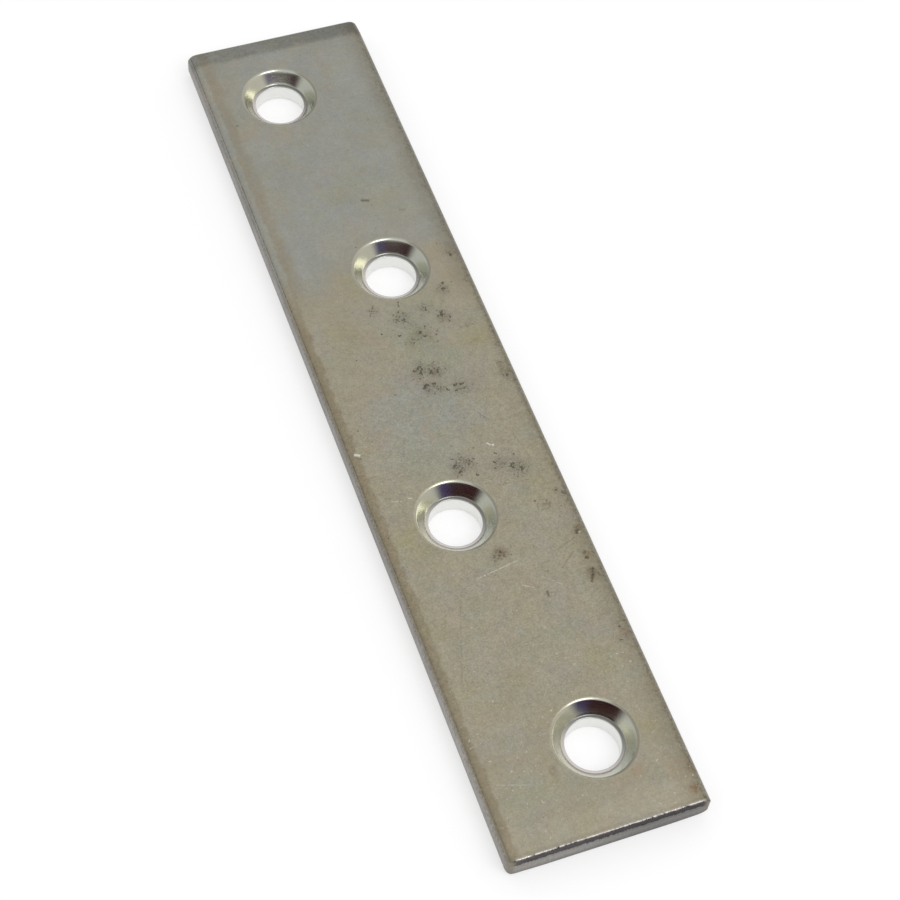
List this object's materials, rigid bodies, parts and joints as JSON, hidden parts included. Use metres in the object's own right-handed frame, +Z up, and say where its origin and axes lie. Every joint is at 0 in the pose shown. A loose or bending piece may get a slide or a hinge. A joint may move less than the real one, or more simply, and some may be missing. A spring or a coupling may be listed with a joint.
{
  "type": "mending plate",
  "caption": "Flat straight steel mending plate with countersunk screw holes set in a shallow zigzag along its length; zinc plated.",
  "frame": {"origin": "centre of the plate's flat underside", "axes": "+Y along the plate's length, +X across its width, +Z up through its thickness to the countersunk face"},
  "size_m": [0.0156, 0.08, 0.0026],
  "materials": {
    "zinc_plated_steel": "satin zinc plating, passivated to a faint olive yellow, with bluish and brownish mottling, fine dark specks and light scratches"
  },
  "bodies": {
    "root": {"mending_plate": "zinc_plated_steel"}
  },
  "joints": []
}
